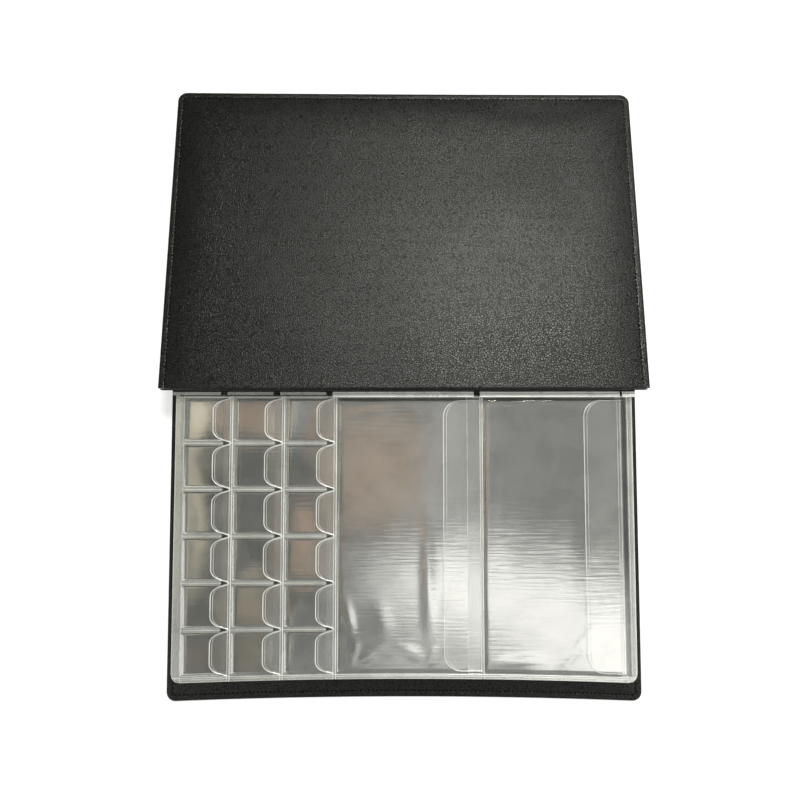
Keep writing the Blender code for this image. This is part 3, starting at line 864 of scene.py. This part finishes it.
# Outline of half a coin tongue: distance from its pocket's middle and reach, in millimetres,
# and the share of that reach to which it is cut
tongue_reaches = ((0, 11.4), (4.2, 11.4), (6.2, 11.35), (7.2, 11.1), (8.1, 10.6), (9.0, 9.9),
                  (9.8, 9.0), (10.5, 7.9), (11.1, 6.5), (11.6, 5.0), (12.0, 3.5), (12.35, 2.2),
                  (12.7, 1.2), (13.05, 0.7), (13.25, 0.55))
tongue_share = 0.94
# Note pockets: where each film starts, the edge of its left weld, its mouth, the root of
# its tongue, and a number that gives it waves of its own
note_pockets = (
    (coin_welds[2] - 0.4 * mm, coin_welds[2] + weld_half, note_mouths[0], note_weld, 3),
    (note_weld - weld_half, note_weld + weld_half, note_mouths[1], right_inner + weld_half, 11),
)


def pocket_height(x, y, x0, x1, low, high, seed, puff, creased):
    # Height of a front film above its leaf: low at the welds, raised inside each pocket
    weld_level, weld_edge, side_rise, end_rise = 0.5 * mm, 1.2 * mm, 1.9 * mm, 0.9 * mm
    if y < low or y > high or x < x0:
        return weld_level
    inner = min(y - low, high - y) - weld_edge
    rise = smooth((x - x0) / side_rise) * smooth(inner / end_rise)
    u, v = (y - low) / (high - low), (x - x0) / (x1 - x0)
    bulge = math.sin(math.pi * u) ** 0.7 * (0.35 + 0.65 * math.sin(math.pi * min(1.0, 0.1 + 0.8 * v)))
    tilt = noise.noise(Vector((seed, x0 * 211, low * 173)))
    slant = noise.noise(Vector((low * 191, seed, x0 * 157)))
    wave = noise.noise(Vector((x * 40, y * 30, seed))) + 0.5 * noise.noise(Vector((x * 95, y * 70, seed + 9)))
    height = 0.3 * mm + puff * (bulge * (0.55 + 0.9 * tilt + 1.6 * slant * (v - 0.5)) + 0.3 * wave)
    if creased:
        height += sum(hump(x, y, *crease) for crease in creases)
    return weld_level + rise * max(0.08 * mm, height)


def make_leaf(number, base):
    label = "leaf_%02d" % number
    top = number == 1
    step = 1.5 * mm if top else 4.4 * mm
    seed = 7.3
    puff = 0.11 * mm if top else 0.09 * mm
    # Beads on the top leaf are drawn twice as wide, so the glints painted on them show stronger
    line_share = 1.0 if top else 0.5
    level = base + 0.5 * mm
    weld_top = level + 0.1 * mm

    # Coin columns: a front film for each column, its weld lines, and a scalloped tongue
    # strip that reaches left under the mouth edge of every pocket
    ys = [near_y, near_y + 1.6 * mm]
    for k in range(row_count):
        low, high = row_lines[k], row_lines[k + 1]
        ys += [low, low + 1.2 * mm, low + 1.5 * mm, low + 1.8 * mm, low + 2.1 * mm]
        ys += spread(low + 2.7 * mm, high - 2.7 * mm, step)
        ys += [high - 2.1 * mm, high - 1.8 * mm, high - 1.5 * mm, high - 1.2 * mm]
    ys += [row_high, far_y]
    ys = sorted(set(round(y, 7) for y in ys))
    long_ys = spread(near_y, far_y, 6 * mm)
    work = LeafMesh()
    inner = [left_inner] + [weld + weld_half for weld in coin_welds[:2]]
    outer = [-leaf_half] + [weld - weld_half for weld in coin_welds[:2]]
    for column in range(3):
        x0, x1, weld = inner[column], coin_mouths[column], coin_welds[column]
        xs = [outer[column]] + ([outer[column] + 2.6 * mm] if column == 0 else [])
        xs += [x0, x0 + 0.4 * mm, x0 + 0.7 * mm, x0 + 1.0 * mm] + spread(x0 + 1.4 * mm, x1, step)

        def coin_height(x, y):
            k = min(row_count - 1, max(0, int((y - row_low) / row_pitch)))
            return base + pocket_height(x, y, x0, x1, row_lines[k], row_lines[k + 1], seed, puff, False)

        work.film([[(x, y, coin_height(x, y)) for x in xs] for y in ys])
        route = []
        for k in range(row_count):
            middle = (row_lines[k] + row_lines[k + 1]) / 2
            below = [(middle - q * mm, tongue_share * reach * mm) for q, reach in reversed(tongue_reaches)]
            above = [(middle + q * mm, tongue_share * reach * mm) for q, reach in tongue_reaches[1:]]
            route += below + above
        shares = [1 - i / 5 for i in range(6)]
        work.film([[(weld - reach * share, y, level + 0.12 * mm * share) for share in shares]
                   for y, reach in route], tongue)
        for inset, radius in ((0.0, 0.26), (1.4 * mm, 0.1)):
            rim = [(weld - max(0.2 * mm, reach - inset), y) for y, reach in route]
            rim = [(x, y, coin_height(x, y) + 0.02 * mm if x < x1 else level + 0.14 * mm) for x, y in rim]
            work.bead(rim, radius * mm * line_share)
        for side, radius in ((-0.75, 0.13), (0.6, 0.24)):
            work.bead([(weld + side * mm, y, level + 0.06 * mm) for y in ys], radius * mm * line_share)
        work.band((weld - 0.3 * mm, weld + 3.4 * mm if column < 2 else weld + 1.4 * mm), long_ys, weld_top)
        for y in row_lines[1:-1]:
            weld_ys = [y + side * mm for side in (-1.5, -0.9, 0.9, 1.5)]
            work.band(spread(x0, x1, 6 * mm), weld_ys, weld_top)
            work.bead([(x, y, level + 0.04 * mm) for x in spread(x0, x1, 4 * mm)], 0.16 * mm * line_share)
    bead_xs = spread(0.4 * mm - leaf_half, coin_welds[2], 4 * mm)
    band_xs = spread(-leaf_half, coin_welds[2], 6 * mm)
    for y, radius in ((row_low, 0.2), (row_low - 1.0 * mm, 0.14), (row_high, 0.16)):
        work.bead([(x, y, level + 0.04 * mm) for x in bead_xs], radius * mm)
    work.band(band_xs, (near_y, near_y + 1.2 * mm, row_low), weld_top)
    work.band(band_xs, (row_high - 0.4 * mm, far_y), weld_top)
    work.band((-leaf_half, -leaf_half + 2 * mm, left_inner), long_ys, weld_top)
    work.bead([(left_inner, y, level + 0.04 * mm) for y in ys], 0.12 * mm)
    work.piece(label + "_coin_pockets", label + "_coin_film", label)

    # Note pockets: two long films with a wide straight tongue under each mouth edge
    ys = [near_y, near_y + 1.6 * mm, row_low, row_low + 1.2 * mm, row_low + 1.6 * mm]
    ys += spread(row_low + 2.1 * mm, row_high - 2.1 * mm, step)
    ys += [row_high - 1.6 * mm, row_high - 1.2 * mm, row_high, far_y]
    work = LeafMesh()

    def note_height(x, y, x0, mouth, shift):
        return base + pocket_height(x, y, x0, mouth, row_low, row_high, seed + shift, puff * 1.3, top)

    for x_start, x0, mouth, root, shift in note_pockets:
        xs = [x_start, x0, x0 + 0.4 * mm, x0 + 0.7 * mm, x0 + 1.0 * mm] + spread(x0 + 1.4 * mm, mouth, step)
        work.film([[(x, y, note_height(x, y, x0, mouth, shift)) for x in xs] for y in ys])
        work.bead([(mouth, y, note_height(mouth, y, x0, mouth, shift)) for y in ys], 0.1 * mm)
    for side, radius in ((-0.75, 0.14), (0.75, 0.2)):
        work.bead([(note_weld + side * mm, y, level + 0.08 * mm) for y in ys], radius * mm * line_share)
    work.band((note_weld - weld_half, note_weld + weld_half), long_ys, weld_top)
    work.band((leaf_half - 2.8 * mm, leaf_half - 1.2 * mm, leaf_half), long_ys, weld_top)
    for x, radius in ((right_inner, 0.1), (leaf_half - 2.8 * mm, 0.16), (leaf_half - 0.3 * mm, 0.16)):
        work.bead([(x, y, level + 0.06 * mm) for y in ys[1:]], radius * mm)
    bead_xs = spread(coin_welds[2] + weld_half, leaf_half - 0.4 * mm, 4 * mm)
    band_xs = spread(coin_welds[2], leaf_half, 6 * mm)
    for y, radius in ((row_low, 0.24), (row_low - 1.0 * mm, 0.16), (row_high, 0.2)):
        work.bead([(x, y, level + 0.04 * mm) for x in bead_xs], radius * mm)
    work.band(band_xs, (near_y, near_y + 1.2 * mm, row_low), weld_top)
    work.band(band_xs, (row_high - 0.4 * mm, far_y), weld_top)
    low, high, reach, radius = row_low + 2.1 * mm, row_high - 2.1 * mm, 21.8 * mm, 9.6 * mm
    route = []
    for k in range(11):
        turn = math.pi / 20 * k
        route.append((low + radius * (1 - math.cos(turn)), reach - radius * (1 - math.sin(turn))))
    route += [(y, reach) for y in spread(low + radius + 2 * mm, high - radius - 2 * mm, 4 * mm)]
    route += [(high + low - y, wide) for y, wide in reversed(route[:11])]
    shares = [1 - i / 8 for i in range(9)]
    for x_start, x0, mouth, root, shift in note_pockets:
        work.film([[(root - wide * share, y, level + 0.1 * mm * share) for share in shares]
                   for y, wide in route], tongue)

        def over_film(x, y):
            if x > mouth:
                return level + 0.12 * mm
            return note_height(x, y, x0, mouth, shift) + 0.02 * mm

        rim = [(root, low)] + [(root - wide, y) for y, wide in route] + [(root, high)]
        work.bead([(x, y, over_film(x, y)) for x, y in rim], 0.24 * mm * line_share)
        inside = [(root - wide + 1.8 * mm, y) for y, wide in route if wide > 14 * mm]
        work.bead([(x, y, over_film(x, y)) for x, y in inside], 0.1 * mm * line_share)
    work.piece(label + "_note_pockets", label + "_note_film", label, note_vinyl)

    # Backing sheet with its cut rim
    work = LeafMesh()
    back_y = turning_y + (0.2 + 0.18 * (number - 1)) * mm
    rim_gaps = (0, 1.2 * mm, 2.6 * mm, 5.2 * mm)
    ys = [near_y + gap for gap in rim_gaps] + spread(near_y + 10 * mm, back_y, 2 * step)
    xs = spread(-leaf_half + 6 * mm, leaf_half - 6 * mm, 2 * step)
    ends = [leaf_half - gap for gap in rim_gaps]
    xs = [-x for x in ends] + xs + ends[::-1]

    def backing_height(x, y):
        return base + (0.17 + 0.05 * noise.noise(Vector((x * 45, y * 40, 4.4)))) * mm

    work.film([[(x, y, backing_height(x, y)) for x in xs] for y in ys], sheet)
    rim = [(-leaf_half, y) for y in reversed(ys)] + [(x, near_y) for x in xs[1:]]
    rim += [(leaf_half, y) for y in ys[1:]]
    work.bead([(x, y, base + 0.3 * mm) for x, y in rim], 0.16 * mm)
    work.piece(label + "_backing", label + "_back_sheet", label)

    # Upright hinge strip, fixed in the binding, cut short at the pocket mouths
    strip_low, strip_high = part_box(label + "_hinge_strip")
    crest_z = strip_high[2] - (0.45 if top else 0.85) * mm
    work = LeafMesh()
    cuts = [-leaf_half]
    for left, weld in list(zip(coin_mouths, coin_welds)) + [(note_mouths[0] + 3.4 * mm, note_weld)]:
        cuts += [left, weld - weld_half - 0.2 * mm]
    cuts += [note_mouths[1], right_inner - 0.3 * mm, leaf_half]
    for k in range(len(cuts) - 1):
        notch = k % 2 == 1
        xs = spread(cuts[k], cuts[k + 1], 4 * mm)
        upper = crest_z - (1.6 * mm if notch else 0)
        crest = [(x, back_y + 0.03 * mm * math.sin(x * 60 + seed), upper) for x in xs]
        start = len(work.verts)
        for x, y, z in crest:
            for side, height in ((-1, strip_low[2]), (-1, z), (1, z), (1, strip_low[2])):
                work.verts.append((x, y + side * 0.05 * mm, height))
        for j in range(len(crest) - 1):
            for side in range(4):
                a, b = start + j * 4 + side, start + j * 4 + (side + 1) % 4
                work.faces.append((b, a, a + 4, b + 4))
        last = start + (len(crest) - 1) * 4
        work.faces += [(start, start + 1, start + 2, start + 3), (last + 3, last + 2, last + 1, last)]
        work.slots += [sheet] * (len(work.faces) - len(work.slots))
        notes = cuts[k] > coin_welds[2] - 2 * mm
        if notch:
            continue
        # On the top leaf two wide pale beads run along the crest over the note pockets: a painted highlight
        # for the bright reflection where the leaf curves up at its top seam
        if top and notes:
            for shift, radius in ((0.0, 0.5), (-0.95, 0.42)):
                work.bead([(x, y + shift * mm, z + 0.05 * mm) for x, y, z in crest], radius * mm)
        else:
            work.bead([(x, y, z) for x, y, z in crest], (0.13 if notes else 0.05) * mm)
    work.piece(label + "_hinge_edge", label + "_hinge_strip", label)


for number in range(10, 0, -1):
    low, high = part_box("leaf_%02d_back_sheet" % number)
    make_leaf(number, low[2])

bpy.context.view_layer.update()
